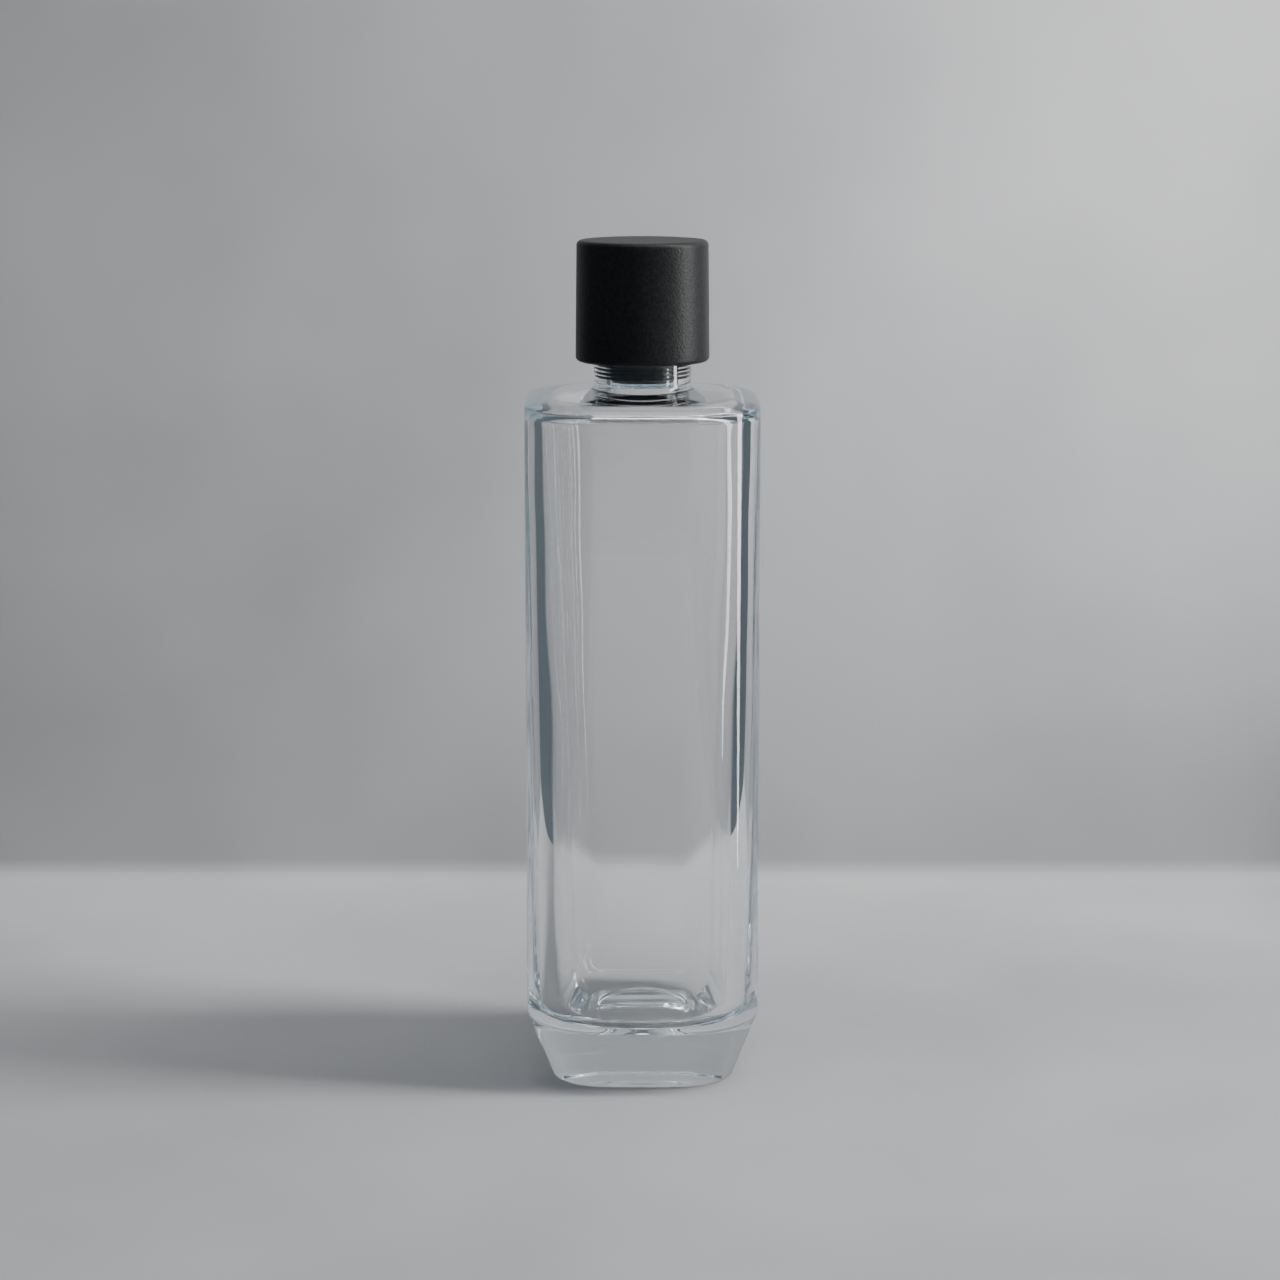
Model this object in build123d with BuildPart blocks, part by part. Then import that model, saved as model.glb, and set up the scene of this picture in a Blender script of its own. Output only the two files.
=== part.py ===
from build123d import *
import math
import os

os.makedirs("parts", exist_ok=True)

# An aftershave splash bottle: heavy square-shouldered glass, a press-fit pour plug and a black screw cap.
# Millimetres, +Z up. The origin is on the bottle's axis, in the plane that the bottle stands on.

# ---- Driving dimensions ----
overall_height = 152.0
cap_height = 21.3
cap_diameter = 23.9     # at the lower edge
cap_draft = 0.5         # the cap is this much narrower at its top
neck_gap = 4.9          # bare glass between the shoulder and the cap's lower edge
body_width = 42.0       # across the flats, just under the shoulder
heel_width = 42.8       # the body opens slightly downwards
base_width = 33.8
heel_height = 12.4      # where the straight body turns into the tapered foot
shoulder_drop = 2.6     # from the neck's foot down to the widest line of the shoulder
neck_diameter = 17.3    # plain wall of a 20 mm screw neck
thread_diameter = 19.2
thread_pitch = 3.175    # eight turns to the inch
thread_turns = 1.5
finish_height = 15.0    # from the neck's foot up to the lip
bore_diameter = 11.6

# ---- Heights that follow from them ----
cap_bottom = overall_height - cap_height
neck_foot = cap_bottom - neck_gap
shoulder_height = neck_foot - shoulder_drop
lip_height = neck_foot + finish_height

# ---- Plan of the glass: four gently bowed sides joined by large tangent corners ----
side_bow = 0.048        # rise of a side at its middle, as a share of the half-width
corner_share = 0.57     # corner radius, as a share of the half-width

# ---- Glass walls ----
heel_round = 3.5        # blend between the body and the tapered foot
foot_round = 0.7        # at the edge of the base
shoulder_inset = 5.0    # the shoulder's rounding, measured inwards
shoulder_rise = 1.6     # the same rounding, measured upwards
shoulder_steps = 5
slope_start = 0.5       # how far inside the rounding the last slope up to the neck begins
slope_sink = 1.0
level_band = 0.01       # edges within this of a height lie at that height
shoulder_top = shoulder_height + shoulder_rise
slope_radius = body_width / 2 - shoulder_inset - slope_start
neck_fillet = 1.0
lip_round = 0.8
cavity_ceiling = neck_foot - 2.3    # where it meets the bore
cavity_shoulder = neck_foot - 2.9   # where it meets the walls
cavity_floor = 10.6
cavity_top_width = 36.0
cavity_heel_width = 32.4
cavity_top_round = 1.9
cavity_floor_round = 5.0
bore_round = 1.5
floor_recess_diameter = 18.0
floor_recess_depth = 0.4
punt_diameter = 20.0
punt_depth = 0.7
punt_sphere = (punt_diameter ** 2 / 4 + punt_depth ** 2) / (2 * punt_depth)

# ---- Screw thread: ridges are sunk into their walls a little, so that they fuse ----
thread_sink = 0.3
neck_root_width = 1.9
neck_crest_width = 0.9
cap_root_width = 1.9
cap_crest_width = 0.8
thread_lead = 1.2       # plain neck above the first turn
thread_clearance = 0.15
crest_clearance = 0.2
thread_top = lip_height - thread_lead - neck_root_width / 2
thread_foot = thread_top - thread_turns * thread_pitch

# ---- Pour plug ----
plug_flange_diameter = 15.2
plug_flange_height = 1.0
plug_flange_round = 0.3
plug_depth = 13.7
plug_barrel_gap = 0.15
plug_bore_diameter = 8.8
plug_web = 1.2
plug_lead = 0.6
pour_hole_diameter = 6.0
seal_rib_count = 18
seal_rib_pitch = 0.7
seal_rib_root = 0.64    # width against the barrel
seal_rib_crest = 0.46
seal_rib_squeeze = 0.03 # how far a rib overlaps the bore
seal_rib_lead = 1.0     # from the lip down to the first rib's middle

# ---- Liner, inner cap, weight and outer cap ----
liner_diameter = 19.1
liner_thickness = 1.2
inner_cap_diameter = 21.0
inner_cap_recess = 0.5  # its foot stands this far above the outer cap's edge
inner_cap_roof = 1.2
retaining_bead = 0.35
grip_rib_count = 24
grip_rib_radius = 0.3
grip_rib_gap = 0.02
cap_bore_diameter = 21.3
cap_roof = 1.6
cap_top_round = 0.9
cap_foot_round = 0.8
cap_inner_round = 0.4
weight_diameter = 20.8
weight_chamfer = 0.6


def plan(width, height):
    """The square-ish section of the glass at one height."""
    half = width / 2
    corner = half * (1 - side_bow)
    corners = [(corner, corner), (-corner, corner), (-corner, -corner), (corner, -corner)]
    middles = [(0, half), (-half, 0), (0, -half), (half, 0)]
    with BuildSketch(Plane.XY.offset(height)) as section:
        with BuildLine():
            for i, middle in enumerate(middles):
                ThreePointArc(corners[i], middle, corners[(i + 1) % len(corners)])
        make_face()
        fillet(section.vertices(), corner_share * half)
    return section.sketch


def thread_ridge(root_radius, crest_radius, root_width, crest_width, foot_height):
    """A right-hand ridge that climbs from foot_height for the thread's whole length."""
    path = Helix(thread_pitch, thread_turns * thread_pitch, root_radius, center=(0, 0, foot_height))
    with BuildSketch(Plane.XZ) as profile:
        with BuildLine():
            Polyline(
                (root_radius, foot_height - root_width / 2),
                (crest_radius, foot_height - crest_width / 2),
                (crest_radius, foot_height + crest_width / 2),
                (root_radius, foot_height + root_width / 2),
                close=True,
            )
        make_face()
    return sweep(profile.sketch, path=path, is_frenet=True, mode=Mode.PRIVATE)


# ---- The hollow inside the glass ----
with BuildPart() as cavity:
    loft([plan(cavity_heel_width, cavity_floor), plan(cavity_top_width, cavity_shoulder)], ruled=True)
    fillet(cavity.edges().group_by(Axis.Z)[0], cavity_floor_round)
    fillet(cavity.edges().group_by(Axis.Z)[-1], cavity_top_round)
    # The ceiling's slope up to the bore, and the bore itself, are one turned profile.
    with BuildSketch(Plane.XZ) as bore_profile:
        with BuildLine():
            Polyline(
                (0, cavity_shoulder - slope_sink),
                (slope_radius, cavity_shoulder - slope_sink),
                (slope_radius, cavity_shoulder),
                (bore_diameter / 2, cavity_ceiling),
                (bore_diameter / 2, lip_height),
                (0, lip_height),
                close=True,
            )
        make_face()
        bore_corner = bore_profile.vertices().sort_by_distance((bore_diameter / 2, cavity_ceiling))[0]
        fillet(bore_corner, bore_round)
    revolve(axis=Axis.Z)
    # A round, shallow recess in the floor, left by the blowing.
    with BuildSketch(Plane.XY.offset(cavity_floor - floor_recess_depth)):
        Circle(floor_recess_diameter / 2)
    extrude(amount=2 * floor_recess_depth)

# ---- The glass bottle ----
shoulder_sections = []
for i in range(shoulder_steps + 1):
    angle = math.pi / 2 * i / shoulder_steps
    width = body_width - 2 * shoulder_inset * (1 - math.cos(angle))
    shoulder_sections.append(plan(width, shoulder_height + shoulder_rise * math.sin(angle)))
neck_ridge = thread_ridge(
    neck_diameter / 2 - thread_sink, thread_diameter / 2, neck_root_width, neck_crest_width, thread_foot
)

with BuildPart() as glass_bottle:
    loft([plan(base_width, 0), plan(heel_width, heel_height)], ruled=True)
    loft([plan(heel_width, heel_height), plan(body_width, shoulder_height)], ruled=True)
    heel_band = (heel_height - level_band, heel_height + level_band)
    fillet(glass_bottle.edges().filter_by_position(Axis.Z, *heel_band), heel_round)
    fillet(glass_bottle.edges().group_by(Axis.Z)[0], foot_round)
    # A shallow punt, a slice of a large sphere, leaves a flat ring for the bottle to stand on.
    with Locations((0, 0, punt_depth - punt_sphere)):
        Sphere(punt_sphere, mode=Mode.SUBTRACT)
    loft(shoulder_sections)
    # The shoulder's last slope and the neck are one turned profile.
    with BuildSketch(Plane.XZ) as neck_profile:
        with BuildLine():
            Polyline(
                (0, shoulder_top - slope_sink),
                (slope_radius, shoulder_top - slope_sink),
                (slope_radius, shoulder_top),
                (neck_diameter / 2, neck_foot),
                (neck_diameter / 2, lip_height),
                (0, lip_height),
                close=True,
            )
        make_face()
        neck_corner = neck_profile.vertices().sort_by_distance((neck_diameter / 2, neck_foot))[0]
        fillet(neck_corner, neck_fillet)
        lip_corner = neck_profile.vertices().sort_by_distance((neck_diameter / 2, lip_height))[0]
        fillet(lip_corner, lip_round)
    revolve(axis=Axis.Z)
    add(neck_ridge)
    add(cavity.part, mode=Mode.SUBTRACT)
glass_bottle.part.label = "glass_bottle"
export_step(glass_bottle.part, "parts/glass_bottle.step")

# ---- The pour plug: a polyethylene stopper with a small hole, pressed into the neck ----
plug_top = lip_height + plug_flange_height
plug_foot = lip_height - plug_depth
plug_radius = bore_diameter / 2 - plug_barrel_gap
rib_radius = bore_diameter / 2 + seal_rib_squeeze
# Soft ribs round the barrel seal it in the neck.
barrel_line = [(plug_radius, lip_height)]
for i in range(seal_rib_count):
    rib_middle = lip_height - seal_rib_lead - i * seal_rib_pitch
    barrel_line += [
        (plug_radius, rib_middle + seal_rib_root / 2),
        (rib_radius, rib_middle + seal_rib_crest / 2),
        (rib_radius, rib_middle - seal_rib_crest / 2),
        (plug_radius, rib_middle - seal_rib_root / 2),
    ]
barrel_line += [(plug_radius, plug_foot + plug_lead), (plug_radius - plug_lead / 2, plug_foot)]
with BuildPart() as pour_plug:
    with BuildSketch(Plane.XZ) as plug_profile:
        with BuildLine():
            Polyline(
                (pour_hole_diameter / 2, plug_top),
                (plug_flange_diameter / 2, plug_top),
                (plug_flange_diameter / 2, lip_height),
                *barrel_line,
                (plug_bore_diameter / 2, plug_foot),
                (plug_bore_diameter / 2, plug_top - plug_web),
                (pour_hole_diameter / 2, plug_top - plug_web),
                close=True,
            )
        make_face()
        flange_corner = plug_profile.vertices().sort_by_distance((plug_flange_diameter / 2, plug_top))[0]
        fillet(flange_corner, plug_flange_round)
    revolve(axis=Axis.Z)
pour_plug.part.label = "pour_plug"
export_step(pour_plug.part, "parts/pour_plug.step")

# ---- The liner: a foam disc that the cap presses onto the pour plug ----
with BuildPart() as cap_liner:
    with BuildSketch(Plane.XY.offset(plug_top)):
        Circle(liner_diameter / 2)
    extrude(amount=liner_thickness)
cap_liner.part.label = "cap_liner"
export_step(cap_liner.part, "parts/cap_liner.step")

# ---- The inner cap: carries the thread, and grips the outer cap with its ribs ----
inner_foot = cap_bottom + inner_cap_recess
inner_ceiling = plug_top + liner_thickness
inner_top = inner_ceiling + inner_cap_roof
inner_bore_radius = thread_diameter / 2 + thread_clearance
cap_ridge = thread_ridge(
    inner_bore_radius + thread_sink,
    neck_diameter / 2 + crest_clearance,
    cap_root_width,
    cap_crest_width,
    thread_foot - thread_pitch / 2,
)
with BuildPart() as inner_cap:
    with BuildSketch(Plane.XY.offset(inner_foot)):
        Circle(inner_cap_diameter / 2)
        with PolarLocations(cap_bore_diameter / 2 - grip_rib_gap - grip_rib_radius, grip_rib_count):
            Circle(grip_rib_radius)
        Circle(inner_bore_radius, mode=Mode.SUBTRACT)
    extrude(amount=inner_ceiling - inner_foot)
    with BuildSketch(Plane.XY.offset(inner_ceiling)):
        Circle(inner_cap_diameter / 2)
    extrude(amount=inner_cap_roof)
    # A low bead under the liner keeps it in the cap.
    with BuildSketch(Plane.XZ):
        with BuildLine():
            Polyline(
                (inner_bore_radius + thread_sink, plug_top - 2 * retaining_bead - thread_sink),
                (inner_bore_radius - retaining_bead, plug_top - retaining_bead),
                (inner_bore_radius + thread_sink, plug_top + thread_sink),
                close=True,
            )
        make_face()
    revolve(axis=Axis.Z)
    add(cap_ridge)
inner_cap.part.label = "inner_cap"
export_step(inner_cap.part, "parts/inner_cap.step")

# ---- The weight: a steel disc that gives the cap its heft ----
cap_ceiling = overall_height - cap_roof
with BuildPart() as cap_weight:
    with BuildSketch(Plane.XY.offset(inner_top)):
        Circle(weight_diameter / 2)
    extrude(amount=cap_ceiling - inner_top)
    chamfer(cap_weight.edges().filter_by(GeomType.CIRCLE), weight_chamfer)
cap_weight.part.label = "cap_weight"
export_step(cap_weight.part, "parts/cap_weight.step")

# ---- The outer cap: a smooth satin shell, very slightly tapered ----
cap_radius = cap_diameter / 2
cap_top_radius = cap_radius - cap_draft / 2
cap_bore_radius = cap_bore_diameter / 2
with BuildPart() as cap_shell:
    with BuildSketch(Plane.XZ) as shell_profile:
        with BuildLine():
            Polyline(
                (0, overall_height),
                (cap_top_radius, overall_height),
                (cap_radius, cap_bottom),
                (cap_bore_radius, cap_bottom),
                (cap_bore_radius, cap_ceiling),
                (0, cap_ceiling),
                close=True,
            )
        make_face()
        rounds = [
            ((cap_top_radius, overall_height), cap_top_round),
            ((cap_radius, cap_bottom), cap_foot_round),
            ((cap_bore_radius, cap_bottom), cap_inner_round),
            ((cap_bore_radius, cap_ceiling), cap_inner_round),
        ]
        for place, radius in rounds:
            fillet(shell_profile.vertices().sort_by_distance(place)[0], radius)
    revolve(axis=Axis.Z)
cap_shell.part.label = "cap_shell"
export_step(cap_shell.part, "parts/cap_shell.step")
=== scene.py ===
# %% [markdown]
# # A clear glass aftershave bottle with a satin black screw cap
#
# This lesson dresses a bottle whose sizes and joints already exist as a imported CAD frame. We load
# that frame, skin each piece with a smooth mesh made from its own profile, and give every piece a
# finish built from shader nodes. The glass is the hard part: it shows nothing of its own, only what
# bends through it and mirrors off it, so its two surfaces, outside and inside, have to be as true as
# the real ones.

# %% The frame comes first
import math
import bpy
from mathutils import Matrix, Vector, noise


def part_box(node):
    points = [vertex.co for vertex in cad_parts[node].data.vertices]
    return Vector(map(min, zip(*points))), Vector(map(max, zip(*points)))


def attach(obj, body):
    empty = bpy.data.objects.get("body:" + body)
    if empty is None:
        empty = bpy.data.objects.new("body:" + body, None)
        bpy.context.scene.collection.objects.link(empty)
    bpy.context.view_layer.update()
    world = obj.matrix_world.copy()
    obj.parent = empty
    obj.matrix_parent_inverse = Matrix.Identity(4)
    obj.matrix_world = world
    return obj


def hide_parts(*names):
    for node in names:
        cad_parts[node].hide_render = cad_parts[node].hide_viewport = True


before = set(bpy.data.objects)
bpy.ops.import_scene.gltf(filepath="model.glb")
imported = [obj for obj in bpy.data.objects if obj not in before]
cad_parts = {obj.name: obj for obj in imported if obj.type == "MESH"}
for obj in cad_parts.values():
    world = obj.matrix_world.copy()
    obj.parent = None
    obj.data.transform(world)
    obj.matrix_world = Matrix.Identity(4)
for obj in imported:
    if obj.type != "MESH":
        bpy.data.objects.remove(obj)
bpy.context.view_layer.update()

MM = 0.001


def in_mm(node):
    """The lowest and highest corner of a CAD node, in millimetres."""
    low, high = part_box(node)
    return low / MM, high / MM


print("pieces in the frame:", sorted(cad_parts))

# %% [markdown]
# ## Sizes that the frame gives
#
# A bottle maker's drawing starts from a few heights: where the glass ends at the lip, where the cap's
# skirt stops, how wide the heel is. We read those from the frame, so that the looks can never drift
# away from the parts that have to fit and turn. The rest of a section, such as a wall's thickness, is
# stated from them.

# %% Heights and widths
glass_high = in_mm("glass_bottle")[1]
shell_low, shell_high = in_mm("cap_shell")
plug_low, plug_high = in_mm("pour_plug")
liner_low, liner_high = in_mm("cap_liner")
inner_low, inner_high = in_mm("inner_cap")
weight_low, weight_high = in_mm("cap_weight")

lip_height = glass_high.z
finish_height = 15.0
neck_foot = lip_height - finish_height
heel_reach = glass_high.x
print("lip at", round(lip_height, 2), "mm, neck's foot at", round(neck_foot, 2), "mm")

# %% [markdown]
# ## The camera
#
# The bottle is seen from a little above its cap, through a long lens, as a product photographer would
# place it so that its sides stay nearly upright. We aim by tilting the camera and leave its lens
# shift at zero, because a shifted lens would carry over into every other view of the model.

# %% A long lens, slightly above the cap
camera_side = -0.45
camera_distance = 487.0
camera_height = 182.4
camera_tilt = 11.9
camera_data = bpy.data.cameras.new("product_camera")
camera_data.sensor_width = 36.0
camera_data.lens = 76.9
camera_data.clip_start = 0.01
camera_data.clip_end = 20.0
camera = bpy.data.objects.new("product_camera", camera_data)
bpy.context.scene.collection.objects.link(camera)
camera.location = Vector((camera_side, -camera_distance, camera_height)) * MM
camera.rotation_euler = (math.radians(90 - camera_tilt), 0, 0)
bpy.context.scene.camera = camera
print("camera", camera_distance, "mm away, lens", camera_data.lens, "mm")

# %% [markdown]
# ## Rounded lines
#
# Every piece here is made from a line: half of its section, from the axis outwards and back. On a
# drawing such a line is straight runs with a radius at each corner, so that is how we write it down.
# One helper turns corners and radii into points, and another cuts long runs into short ones, so that
# a wall can carry detail.


# %% A line with rounded corners
def rounded_line(corners, steps=8):
    """Points along straight runs; each corner is (reach, height, radius)."""
    points = []
    for i, (reach, height, radius) in enumerate(corners):
        here = Vector((reach, height))
        if radius == 0 or i in (0, len(corners) - 1):
            points.append(here)
            continue
        to_last = (Vector(corners[i - 1][:2]) - here).normalized()
        to_next = (Vector(corners[i + 1][:2]) - here).normalized()
        half_angle = to_last.angle(to_next) / 2
        start = here + to_last * radius / math.tan(half_angle)
        end = here + to_next * radius / math.tan(half_angle)
        centre = here + (to_last + to_next).normalized() * radius / math.sin(half_angle)
        sweep = (start - centre).angle_signed(end - centre)
        for k in range(steps + 1):
            spoke = start - centre
            turn = -sweep * k / steps
            points.append(centre + Vector((
                spoke.x * math.cos(turn) - spoke.y * math.sin(turn),
                spoke.x * math.sin(turn) + spoke.y * math.cos(turn),
            )))
    return points


def divided(points, longest):
    """The same line with no run longer than the given length."""
    result = [points[0]]
    for a, b in zip(points, points[1:]):
        pieces = max(1, math.ceil((b - a).length / longest))
        result += [a.lerp(b, k / pieces) for k in range(1, pieces + 1)]
    return result


test_line = rounded_line([(0, 0, 0), (10, 0, 2), (10, 10, 0)])
print("a test line of two runs has", len(test_line), "points, the corner's first at", tuple(test_line[1]))


# %% [markdown]
# ## Skinning a line
#
# A turned piece sweeps its line round the axis. Blender has a Screw modifier and a Spin tool for
# that, but both keep the section a circle. Here a small function asks, for every point, how far out
# the surface lies at that angle. A plain circle, the bottle's square plan, a screw thread and grip
# ribs are then all the same kind of thing: a rule that says how far out the surface stands.

# %% Skin a line round the axis
ON_AXIS = 1e-6


def skin(name, line, around, reach_at=None):
    """A closed mesh from a line that starts and ends on the axis, or whose ends meet."""
    on_axis = line[0].x < ON_AXIS
    rings = line[1:-1] if on_axis else line
    vertices = []
    for reach, height in rings:
        for k in range(around):
            angle = 2 * math.pi * k / around
            out = reach_at(angle, reach, height) if reach_at else reach
            vertices.append((out * math.cos(angle) * MM, out * math.sin(angle) * MM, height * MM))
    faces = []
    last = len(rings) - 1
    for i in range(last if on_axis else last + 1):
        a, b = i * around, (i + 1) % len(rings) * around
        for k in range(around):
            n = (k + 1) % around
            faces.append((a + k, a + n, b + n, b + k))
    if on_axis:
        first_pole = len(vertices)
        vertices += [(0, 0, line[0].y * MM), (0, 0, line[-1].y * MM)]
        for k in range(around):
            n = (k + 1) % around
            faces.append((first_pole, n, k))
            faces.append((first_pole + 1, last * around + k, last * around + n))
    mesh = bpy.data.meshes.new(name)
    mesh.from_pydata(vertices, [], faces)
    mesh.validate()
    mesh.shade_smooth()
    piece = bpy.data.objects.new(name, mesh)
    bpy.context.scene.collection.objects.link(piece)
    print(name, "has", len(mesh.polygons), "faces")
    return piece


# %% [markdown]
# ## The bottle's plan
#
# Seen from above the glass is a square that has gone soft: four sides that bow outwards by about a
# millimetre, joined by large corners that run into them without a kink. We describe it once at a
# reach of one, as the distance to the edge at any angle, and scale that for every height.

# %% How far out the edge lies at an angle
side_bow = 0.048
corner_share = 0.57
side_radius = ((1 - side_bow) ** 2 + side_bow ** 2) / (2 * side_bow)
side_centre = 1 - side_radius
# The corner's centre lies on the diagonal, a corner radius inside the side's arc.
inside = side_radius - corner_share
corner_centre = (side_centre + math.sqrt(2 * inside ** 2 - side_centre ** 2)) / 2
switch_angle = math.atan2(
    side_radius * corner_centre / inside,
    side_centre + side_radius * (corner_centre - side_centre) / inside,
)


def plan_reach(angle):
    """Distance from the axis to the edge of a plan whose sides stand at one."""
    quarter = math.pi / 2
    off_side = abs((angle + quarter / 2) % quarter - quarter / 2)
    if off_side < switch_angle:
        along = side_centre * math.cos(off_side)
        return along + math.sqrt(along ** 2 - side_centre ** 2 + side_radius ** 2)
    along = corner_centre * (math.cos(off_side) + math.sin(off_side))
    return along + math.sqrt(along ** 2 - 2 * corner_centre ** 2 + corner_share ** 2)


print("across a corner the plan reaches", round(plan_reach(math.pi / 4), 3), "of a side's reach")

# %% [markdown]
# ## The screw thread
#
# A glass thread is a soft ridge that climbs the neck for one and a half turns and fades out at both
# ends, because a mould can't make a sharp start. It could be a swept curve joined to the neck, but a
# joined seam would show in clear glass. Raising the neck's own surface keeps the glass in one skin.

# %% How far a thread stands out
thread_pitch = 3.175
thread_turns = 1.5
thread_depth = 0.95
thread_root = 1.9
thread_crest = 0.9
thread_fade = 0.07
thread_lead = 1.2
thread_start = lip_height - thread_lead - thread_root / 2 - thread_turns * thread_pitch


def smooth(low, high, value):
    """Nought below low, one above high, and an easy curve between them."""
    t = min(max((value - low) / (high - low), 0.0), 1.0)
    return t * t * (3 - 2 * t)


def thread_height(angle, height, start):
    """How far a ridge stands out at this place on the wall."""
    turn = angle / (2 * math.pi)
    tallest = 0.0
    for lap in range(math.ceil(thread_turns)):
        climbed = turn + lap
        off = abs(height - start - climbed * thread_pitch)
        flank = 1 - smooth(thread_crest / 2, thread_root / 2, off)
        fade = smooth(0, thread_fade, climbed) * smooth(0, thread_fade, thread_turns - climbed)
        tallest = max(tallest, thread_depth * flank * fade)
    return tallest


print("thread starts at", round(thread_start, 2), "mm")

# %% [markdown]
# ## The glass
#
# The bottle is pressed and blown from one gob: a thick tapered foot, walls that thin towards the
# shoulder, a rounded shoulder and a neck. One closed line follows the outside from the punt up to the
# lip, and comes back down the bore and the inside to the cavity's floor. Light has to cross both
# surfaces, so both are needed. The mould shapes only the outside, and the blown inside is never quite
# even, so it gets slow ripples of a few hundredths of a millimetre, which is what makes the view
# through real glass swim a little.

# %% The glass, outside and inside
foot_reach = 16.9
heel_height = 12.4
body_reach = 21.0
shoulder_height = neck_foot - 2.6
shoulder_inset = 5.0
shoulder_rise = 1.6
shoulder_steps = 8
neck_reach = 8.65
bore_reach = 5.8
bore_middle = (neck_foot + lip_height) / 2
cavity_ceiling = neck_foot - 2.3
cavity_shoulder = neck_foot - 2.9
cavity_floor = 10.6
floor_ring_reach = 9.0
floor_ring_depth = 0.4
floor_dish = 0.1
longest_run = 1.0
cavity_top_reach = 18.0
cavity_heel_reach = 16.2
punt_reach = 10.0
punt_depth = 0.7

shoulder = []
for k in range(shoulder_steps + 1):
    turn = math.pi / 2 * k / shoulder_steps
    shoulder.append((
        body_reach - shoulder_inset * (1 - math.cos(turn)),
        shoulder_height + shoulder_rise * math.sin(turn),
        0,
    ))

outside = rounded_line([
    (0, punt_depth, 0),
    (punt_reach * 0.7, punt_depth * 0.8, 12),
    (punt_reach, 0, 0.5),
    (foot_reach, 0, 0.7),
    (heel_reach, heel_height, 3.5),
    *shoulder,
    (neck_reach, neck_foot, 1.0),
    (neck_reach, lip_height, 0.8),
    (bore_reach, lip_height, 0.5),
    (bore_reach, bore_middle, 0),
])
inside_line = rounded_line([
    (bore_reach, bore_middle, 0),
    (bore_reach, cavity_ceiling, 1.5),
    (cavity_top_reach, cavity_shoulder, 1.9),
    (cavity_heel_reach, cavity_floor, 5.0),
    (floor_ring_reach, cavity_floor, 0.6),
    (floor_ring_reach - 0.5, cavity_floor - floor_ring_depth, 0.5),
    (0, cavity_floor - floor_ring_depth - floor_dish, 0),
])
glass_line = divided(outside, longest_run)[:-1] + divided(inside_line, longest_run)
print("the glass line has", len(glass_line), "points")


# %% Where the glass surface stands
square_beyond = 15.5
round_within = 9.5
round_depth = 2.0       # how far below the shoulder a round section can start
floor_blend = 3.0       # how far above the cavity's floor it ends
ripple_height = 0.10
ripple_length = 7.0
ripple_stretch = 0.4    # ripples run longer up the wall than across it
ripple_rise = 8.0       # they fade in above the cavity's floor over this height
ripple_fall = 6.0       # and fade out below its shoulder over this one


def glass_reach(angle, reach, height):
    """Square plan below, round neck above, with the screw thread on the neck."""
    round_share = 0.0
    near_floor = cavity_floor - 1 < height < cavity_floor + floor_blend
    if height > shoulder_height - round_depth or near_floor:
        round_share = smooth(square_beyond, round_within, reach)
    out = reach * (plan_reach(angle) * (1 - round_share) + round_share)
    if height > neck_foot and reach > bore_reach + 1:
        out += thread_height(angle, height, thread_start)
    if reach < cavity_top_reach + 0.1:
        fade = smooth(cavity_floor, cavity_floor + ripple_rise, height)
        fade *= smooth(cavity_shoulder, cavity_shoulder - ripple_fall, height)
        place = Vector((out * math.cos(angle), out * math.sin(angle), height * ripple_stretch))
        out += ripple_height * fade * noise.noise(place / ripple_length)
    return out


bottle = skin("bottle_glass", glass_line, around=256, reach_at=glass_reach)
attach(bottle, "bottle")
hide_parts("glass_bottle")


# %% [markdown]
# ## Finishes
#
# Every finish here is a small tree of shader nodes. One helper starts it with a Principled shader and
# sets that shader's sockets by name, and another adds a node to it. That leaves each finish short
# enough to read.

# %% Helpers for finishes
def new_finish(name, **sockets):
    """A material with one Principled shader whose sockets are set by name."""
    finish = bpy.data.materials.new(name)
    finish.use_nodes = True
    shader = finish.node_tree.nodes["Principled BSDF"]
    for socket, value in sockets.items():
        shader.inputs[socket.replace("_", " ")].default_value = value
    return finish, finish.node_tree, shader


def add_node(tree, kind, **settings):
    """A node with its settings and sockets given by name."""
    node = tree.nodes.new(kind)
    for key, value in settings.items():
        if hasattr(node, key):
            setattr(node, key, value)
        else:
            node.inputs[key.replace("_", " ")].default_value = value
    return node


print("every finish starts from a Principled shader")

# %% [markdown]
# ## Clear glass
#
# Bottle glass is clear but not colourless: traces of iron in the sand leave it faintly blue-green,
# and only where light has run a long way through it. A colour on the surface would tint thick and
# thin glass alike, so the tint is put inside, as absorption that grows with the distance travelled.

# %% Clear glass with its tint inside
glass_bend = 1.52       # index of refraction of soda-lime glass
clear_glass, tree, shader = new_finish(
    "clear_glass", Base_Color=(1, 1, 1, 1), Roughness=0.0, IOR=glass_bend, Transmission_Weight=1.0
)
tint = add_node(tree, "ShaderNodeVolumeAbsorption", Color=(0.56, 0.73, 0.82, 1), Density=6.0)
tree.links.new(tint.outputs[0], tree.nodes["Material Output"].inputs["Volume"])
bottle.data.materials.append(clear_glass)
print("index of refraction", glass_bend, "and a tint that swallows a little red")

# %% [markdown]
# ## Satin black
#
# The outer cap is moulded in black and sprayed with a soft satin lacquer. It is nearly all
# reflection: a dark front, one broad soft band where it faces the window light, and a fine grain that
# breaks the band up. Two small helpers make the grain, because the other plastics need the same: one
# mottles the colour very slightly, and one raises a fine bump.


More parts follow.
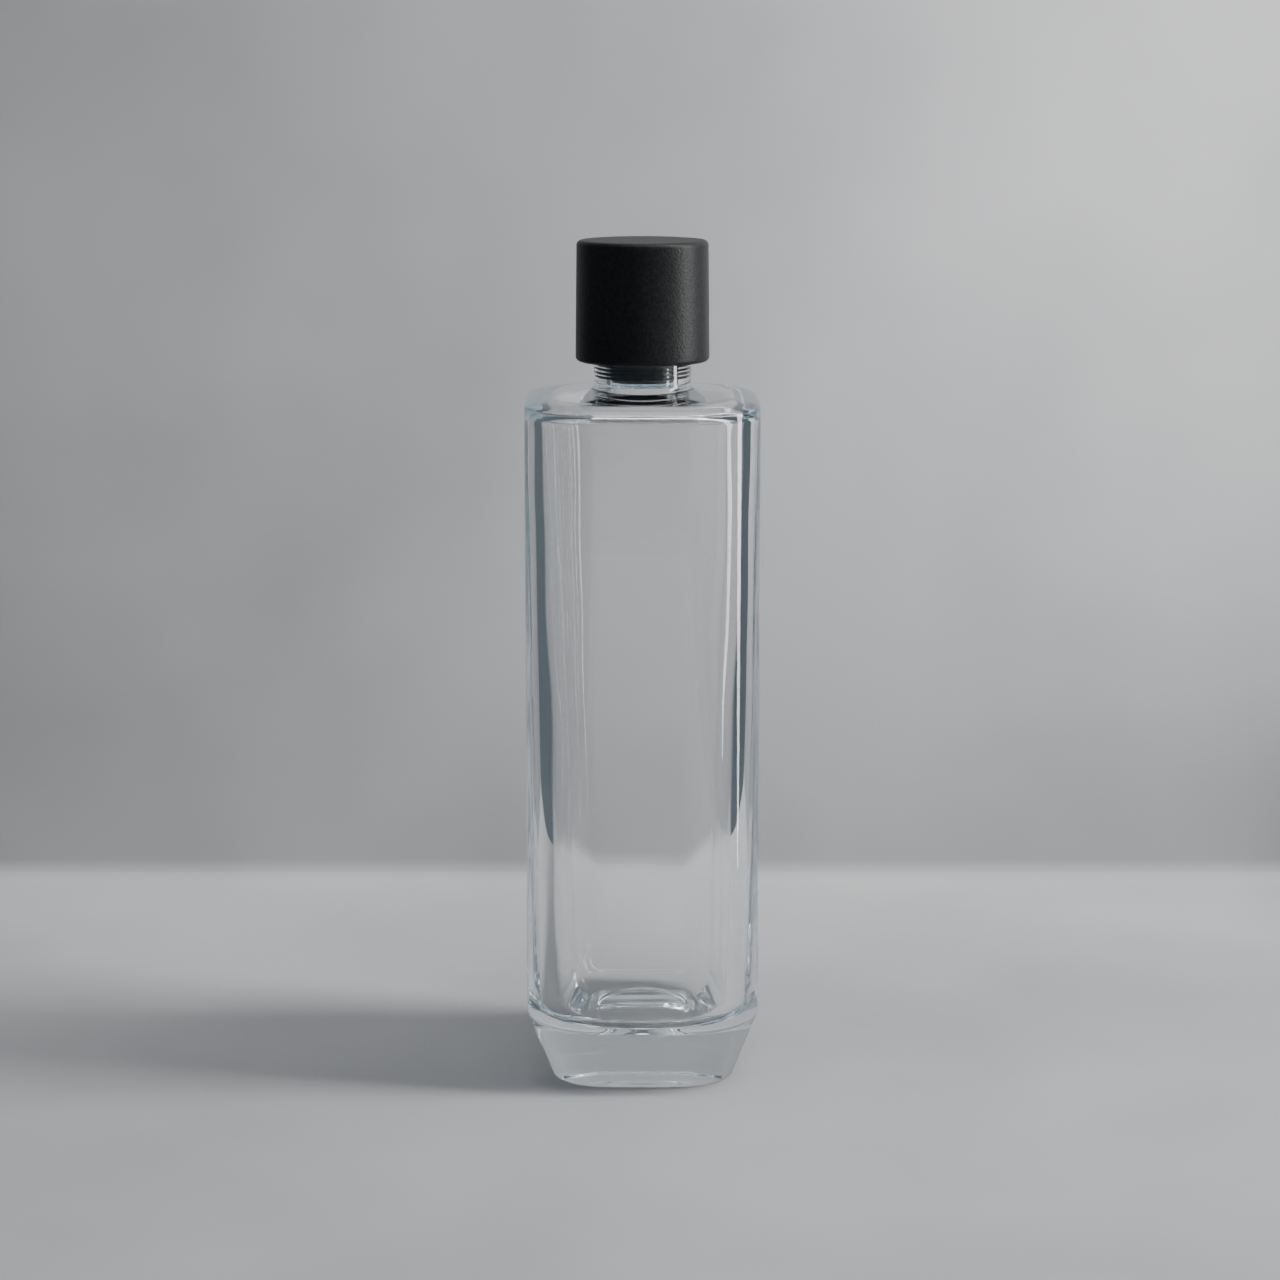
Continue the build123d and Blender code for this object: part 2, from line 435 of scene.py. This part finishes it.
# %% Mottle and grain
def mottle(tree, shader, scale, dark, pale):
    """Let the colour wander between two close shades."""
    place = add_node(tree, "ShaderNodeTexCoord")
    clouds = add_node(tree, "ShaderNodeTexNoise", Scale=scale, Detail=3.0)
    shades = add_node(tree, "ShaderNodeValToRGB")
    shades.color_ramp.elements[0].position = 0.35
    shades.color_ramp.elements[0].color = (*dark, 1)
    shades.color_ramp.elements[1].position = 0.65
    shades.color_ramp.elements[1].color = (*pale, 1)
    tree.links.new(place.outputs["Object"], clouds.inputs["Vector"])
    tree.links.new(clouds.outputs[0], shades.inputs[0])
    tree.links.new(shades.outputs[0], shader.inputs["Base Color"])


def grain_bump(tree, shader, scale, strength):
    """Raise a fine grain a tenth of a millimetre deep, scaled down by its strength."""
    place = add_node(tree, "ShaderNodeTexCoord")
    grain = add_node(tree, "ShaderNodeTexNoise", Scale=scale, Detail=2.0)
    bump = add_node(tree, "ShaderNodeBump", Strength=strength, Distance=0.0001)
    tree.links.new(place.outputs["Object"], grain.inputs["Vector"])
    tree.links.new(grain.outputs[0], bump.inputs["Height"])
    tree.links.new(bump.outputs[0], shader.inputs["Normal"])


# %% Satin lacquer
satin_roughness = 0.45
satin_black, tree, shader = new_finish("satin_black", Roughness=satin_roughness, Specular_IOR_Level=0.27)
mottle(tree, shader, scale=1500.0, dark=(0.011, 0.011, 0.0115), pale=(0.020, 0.020, 0.0205))
grain_bump(tree, shader, scale=2200.0, strength=0.6)
print("satin black, roughness", satin_roughness)

# %% [markdown]
# ## The outer cap
#
# The outer cap is a plain deep cup, moulded mouth down, so its wall leans in by a quarter of a
# millimetre towards the top to let it leave the mould. A cylinder with a bevel would miss that lean,
# so its section is drawn as a line like the others.

# %% The outer cap
cap_reach = shell_high.x
cap_draft = 0.25
cap_top_reach = cap_reach - cap_draft
cap_bore_reach = 10.65
cap_ceiling = weight_high.z
shell_line = divided(rounded_line([
    (0, shell_high.z, 0),
    (cap_top_reach, shell_high.z, 0.9),
    (cap_reach, shell_low.z, 0.8),
    (cap_bore_reach, shell_low.z, 0.4),
    (cap_bore_reach, cap_ceiling, 0.4),
    (0, cap_ceiling, 0),
]), 1.5)
outer_cap = skin("outer_cap", shell_line[::-1], around=192)
outer_cap.data.materials.append(satin_black)
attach(outer_cap, "cap")
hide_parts("cap_shell")

# %% [markdown]
# ## The pour plug
#
# A splash bottle would empty itself at one tilt, so a plug with a small hole is pressed into its
# neck. It is soft black polyethylene, and fine ribs round its barrel squeeze against the glass. Where
# a rib touches, the glass shows black right out to the neck's edge, and between the ribs it mirrors
# the room, which gives the neck its bright and dark stripes. The ribs therefore reach 0.03 mm past
# the bore, and the grooves stay clear of it. They could be a bump texture, but a bump can't touch the
# glass.

# %% The pour plug
plug_foot = plug_low.z
plug_gap = 0.15
plug_reach = bore_reach - plug_gap
plug_bore_reach = 4.4
pour_hole_reach = 3.0
flange_reach = plug_high.x
plug_web = 1.2
plug_lead = 0.6
rib_count = 18
rib_pitch = 0.7
rib_root = 0.64
rib_crest = 0.46
rib_squeeze = 0.03
rib_reach = bore_reach + rib_squeeze
rib_lead = 1.0
plug_corners = [
    (pour_hole_reach, plug_high.z, 0),
    (flange_reach, plug_high.z, 0.3),
    (flange_reach, lip_height, 0),
    (plug_reach, lip_height, 0),
]
for k in range(rib_count):
    middle = lip_height - rib_lead - k * rib_pitch
    plug_corners += [
        (plug_reach, middle + rib_root / 2, 0),
        (rib_reach, middle + rib_crest / 2, 0.04),
        (rib_reach, middle - rib_crest / 2, 0.04),
        (plug_reach, middle - rib_root / 2, 0),
    ]
plug_corners += [
    (plug_reach, plug_foot + plug_lead, 0),
    (plug_reach - plug_lead / 2, plug_foot, 0),
    (plug_bore_reach, plug_foot, 0.2),
    (plug_bore_reach, plug_high.z - plug_web, 0.3),
    (pour_hole_reach, plug_high.z - plug_web, 0),
]
pour_plug = skin("pour_plug_moulded", rounded_line(plug_corners, steps=4)[::-1], around=96)
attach(pour_plug, "bottle")
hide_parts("pour_plug")

# %% [markdown]
# Polyethylene feels waxy and never takes a full polish, so its sheen is soft and its grain is faint.
# It is dark grey rather than black, which keeps its ribs readable through the neck.

# %% Waxy black polyethylene
waxy_black, tree, shader = new_finish("waxy_black_polyethylene", Roughness=0.38)
mottle(tree, shader, scale=900.0, dark=(0.032, 0.032, 0.034), pale=(0.058, 0.058, 0.061))
grain_bump(tree, shader, scale=2600.0, strength=0.12)
pour_plug.data.materials.append(waxy_black)
print("pour plug wears", waxy_black.name)

# %% [markdown]
# ## Inside the cap
#
# A smooth cap hides three more pieces, which show from below once the cap is off. The inner cap is
# moulded polypropylene with the screw thread inside and grip ribs outside. A foam disc lies loose in
# it and seals the bottle. A turned steel disc fills the room above it, and gives the cap its weight.
# The thread and the ribs are raised from the wall by the same kind of rule as the bottle's.

# %% The inner cap
inner_bore_reach = 9.75
inner_wall_reach = 10.5
bead_rise = 0.35
grip_rib_count = 24
grip_rib_radius = 0.3
grip_rib_gap = 0.02
grip_rib_top = cap_bore_reach - grip_rib_gap
faces_per_rib = 16
crest_clearance = 0.2
cap_thread_start = thread_start - thread_pitch / 2
cap_thread_depth = inner_bore_reach - neck_reach - crest_clearance
same_reach = 0.01       # points this near to a wall's reach belong to that wall


def inner_cap_reach(angle, reach, height):
    """A thread on the bore, and grip ribs on the outside up to the roof."""
    if abs(reach - inner_bore_reach) < same_reach:
        return reach - thread_height(angle, height, cap_thread_start) * cap_thread_depth / thread_depth
    if abs(reach - inner_wall_reach) < same_reach and height < liner_high.z:
        spacing = 2 * math.pi / grip_rib_count
        off = abs((angle + spacing / 2) % spacing - spacing / 2) * grip_rib_top
        if off < grip_rib_radius:
            rib = grip_rib_top - grip_rib_radius + math.sqrt(grip_rib_radius ** 2 - off ** 2)
            return max(reach, rib)
    return reach


inner_line = divided(rounded_line([
    (0, liner_high.z, 0),
    (inner_bore_reach, liner_high.z, 0.2),
    (inner_bore_reach, plug_high.z, 0),
    (inner_bore_reach - bead_rise, plug_high.z - bead_rise, 0.1),
    (inner_bore_reach, plug_high.z - 2 * bead_rise, 0),
    (inner_bore_reach, inner_low.z, 0.15),
    (inner_wall_reach, inner_low.z, 0.15),
    (inner_wall_reach, inner_high.z, 0.2),
    (0, inner_high.z, 0),
], 4), 0.4)
inner_cap = skin(
    "inner_cap_moulding", inner_line, around=grip_rib_count * faces_per_rib, reach_at=inner_cap_reach
)
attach(inner_cap, "cap")
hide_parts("inner_cap")

# %% [markdown]
# Polypropylene straight from the mould is semi-matt: the steel's own finish prints into it as a fine
# grain.

# %% Moulded black polypropylene
moulded_black, tree, shader = new_finish("moulded_black_polypropylene", Roughness=0.44)
mottle(tree, shader, scale=700.0, dark=(0.018, 0.018, 0.018), pale=(0.032, 0.032, 0.033))
grain_bump(tree, shader, scale=1800.0, strength=0.2)
inner_cap.data.materials.append(moulded_black)
print("inner cap wears", moulded_black.name)

# %% [markdown]
# ## The foam liner
#
# The liner is stamped from a sheet of closed-cell foam, so its edges are crisp and its faces are
# finely pitted. A bump is enough for pits this small, because nothing is ever seen through them.

# %% The foam liner
liner_reach = liner_high.x
liner_line = divided(rounded_line([
    (0, liner_low.z, 0),
    (liner_reach, liner_low.z, 0.12),
    (liner_reach, liner_high.z, 0.12),
    (0, liner_high.z, 0),
], 4), 0.8)
liner = skin("foam_liner_disc", liner_line, around=128)
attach(liner, "liner")
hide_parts("cap_liner")
white_foam, tree, shader = new_finish("white_foam", Roughness=0.85)
mottle(tree, shader, scale=1400.0, dark=(0.66, 0.66, 0.64), pale=(0.82, 0.82, 0.80))
grain_bump(tree, shader, scale=2200.0, strength=0.5)
liner.data.materials.append(white_foam)

# %% [markdown]
# ## The steel weight
#
# The weight is turned from bar, with a small bevel at both edges so that it drops into the cap. The
# tool leaves fine rings round its faces, which a wave of rings round the axis gives as a shallow
# bump.

# %% The steel weight
weight_reach = weight_high.x
weight_bevel = 0.6
weight_line = divided(rounded_line([
    (0, weight_low.z, 0),
    (weight_reach - weight_bevel, weight_low.z, 0.08),
    (weight_reach, weight_low.z + weight_bevel, 0.08),
    (weight_reach, weight_high.z - weight_bevel, 0.08),
    (weight_reach - weight_bevel, weight_high.z, 0.08),
    (0, weight_high.z, 0),
], 3), 0.8)
weight = skin("turned_weight_disc", weight_line, around=128)
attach(weight, "cap")
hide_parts("cap_weight")

# %% Turned steel
turned_steel, tree, shader = new_finish(
    "turned_steel", Base_Color=(0.46, 0.46, 0.47, 1), Roughness=0.32, Metallic=1.0
)
place = add_node(tree, "ShaderNodeTexCoord")
rings = add_node(
    tree, "ShaderNodeTexWave", wave_type="RINGS", rings_direction="Z", Scale=900.0, Distortion=0.6
)
cuts = add_node(tree, "ShaderNodeBump", Strength=0.3, Distance=0.00005)
tree.links.new(place.outputs["Object"], rings.inputs["Vector"])
tree.links.new(rings.outputs["Fac"], cuts.inputs["Height"])
tree.links.new(cuts.outputs[0], shader.inputs["Normal"])
weight.data.materials.append(turned_steel)
print("weight wears", turned_steel.name)

# %% [markdown]
# ## The stage
#
# The bottle stands on pale plaster in front of a wall of the same plaster, whose upright part is
# painted a darker grey as painted shade. One sheet makes both: flat, then a tight cove, then up. A
# photographer keeps the sheet narrow, because what lies past its sides is what the edges of clear
# glass pick up. Dark, cool surroundings there draw the bottle's outline. The floor sits a hair below
# nought, since two surfaces in the same place would fight over which one is seen.

# %% The backdrop sheet
wall_distance = 113.0
backdrop_front = -600.0
backdrop_top = 700.0
backdrop_reach = 150.0
floor_gap = 0.02
cove = 5.0
cove_steps = 8
sweep_line = [(backdrop_front, -floor_gap)]
for k in range(cove_steps + 1):
    turn = math.pi / 2 * k / cove_steps
    sweep_line.append((
        wall_distance - cove * (1 - math.sin(turn)),
        cove * (1 - math.cos(turn)) - floor_gap,
    ))
sweep_line.append((wall_distance, backdrop_top))
backdrop_points = []
for back, up in sweep_line:
    backdrop_points += [(side * MM, back * MM, up * MM) for side in (-backdrop_reach, backdrop_reach)]
backdrop_faces = [(2 * i, 2 * i + 1, 2 * i + 3, 2 * i + 2) for i in range(len(sweep_line) - 1)]
backdrop_mesh = bpy.data.meshes.new("backdrop")
backdrop_mesh.from_pydata(backdrop_points, [], backdrop_faces)
backdrop_mesh.shade_smooth()
backdrop = bpy.data.objects.new("backdrop", backdrop_mesh)
bpy.context.scene.collection.objects.link(backdrop)
print("the wall stands", wall_distance, "mm behind the bottle's axis")

# %% [markdown]
# The wall is so close that it would fill the view from behind. Its plaster is therefore one-sided,
# like a theatre flat: the face towards the bottle is solid, and the back lets a camera look through.

# %% Plaster for the floor, and for the wall with painted shade
# The wall gets the floor's plaster in lower shades: painted shade for the upright, which takes less light.
for stage_name, dark_shade, pale_shade in (("pale_floor", 0.41, 0.51), ("wall_plaster_painted_shade", 0.36, 0.47)):
    plaster, tree, shader = new_finish(stage_name, Roughness=0.9)
    mottle(
        tree, shader, scale=9.0,
        dark=(dark_shade, dark_shade, dark_shade * 1.02),
        pale=(pale_shade, pale_shade, pale_shade * 1.02),
    )
    side = add_node(tree, "ShaderNodeNewGeometry")
    clear = add_node(tree, "ShaderNodeBsdfTransparent")
    one_sided = add_node(tree, "ShaderNodeMixShader")
    tree.links.new(side.outputs["Backfacing"], one_sided.inputs[0])
    tree.links.new(shader.outputs[0], one_sided.inputs[1])
    tree.links.new(clear.outputs[0], one_sided.inputs[2])
    tree.links.new(one_sided.outputs[0], tree.nodes["Material Output"].inputs["Surface"])
    backdrop_mesh.materials.append(plaster)
for face in backdrop_mesh.polygons:
    face.material_index = 0 if face.index < len(sweep_line) / 2 else 1
print("backdrop finishes:", [finish.name for finish in backdrop_mesh.materials])

# %% [markdown]
# ## Light
#
# Most of the light comes from a tall narrow window to the right, a little in front of the bottle. Its
# width sets how wide the bright lines down the glass are, and its height lets them run from shoulder
# to heel. A wide panel overhead fills the shadows softly, and a lamp on the right washes the wall, so
# that the ground behind the glass grows paler from left to right. That lamp's spread is narrow, so
# that hardly any of it reaches the cap, where it would leave a second highlight.


# %% A helper for lamps
def area_lamp(name, width, height, watts, place, target, spread=180.0):
    """An oval lamp at a place, turned to face a target, both in millimetres; the spread is in degrees."""
    data = bpy.data.lights.new(name, "AREA")
    data.shape = "ELLIPSE"
    data.size = width * MM
    data.size_y = height * MM
    data.energy = watts
    data.spread = math.radians(spread)
    lamp = bpy.data.objects.new(name, data)
    bpy.context.scene.collection.objects.link(lamp)
    lamp.location = Vector(place) * MM
    lamp.rotation_euler = (Vector(target) - Vector(place)).to_track_quat("-Z", "Y").to_euler()
    print(name, "gives", watts, "W from", round(Vector(place).length), "mm away")


# %% Window, ceiling and wall lamps
window_angle = math.radians(84)
window_distance = 700.0
window_height = 450.0
window_place = (
    window_distance * math.sin(window_angle),
    -window_distance * math.cos(window_angle),
    window_height,
)
area_lamp("window_light", width=180.0, height=1600.0, watts=12.5, place=window_place, target=(0, 0, 100))
area_lamp(
    "ceiling_panel", width=1200.0, height=1200.0, watts=9.0, place=(250, -100, 1600), target=(250, -100, 0)
)
area_lamp(
    "wall_wash", width=120.0, height=300.0, watts=0.46,
    place=(330, 60, 240), target=(145, wall_distance, 200), spread=40.0,
)

# %% The room around
world = bpy.data.worlds.new("room")
world.use_nodes = True
room = world.node_tree.nodes["Background"]
room.inputs["Color"].default_value = (0.37, 0.46, 0.54, 1)
room.inputs["Strength"].default_value = 0.24
bpy.context.scene.world = world
print("the room is a dim cool grey")

# %% [markdown]
# ## Long paths
#
# Light that enters thick glass near its edge runs round inside the walls, mirrored many times, before
# it leaves. Blender follows a ray for twelve bounces and then calls it black, which would draw a
# false black line down both sides of the bottle, so we let rays go on for longer.

# %% Let light run on inside the glass
longest_path = 48
cycles = bpy.context.scene.cycles
cycles.max_bounces = longest_path
cycles.transmission_bounces = longest_path
cycles.glossy_bounces = longest_path
print("rays may bounce", cycles.max_bounces, "times")

# %% [markdown]
# ## The skins and their boxes
#
# The skins must stay inside the box of the parts they cover.

# %% The end
print("the scene is built")
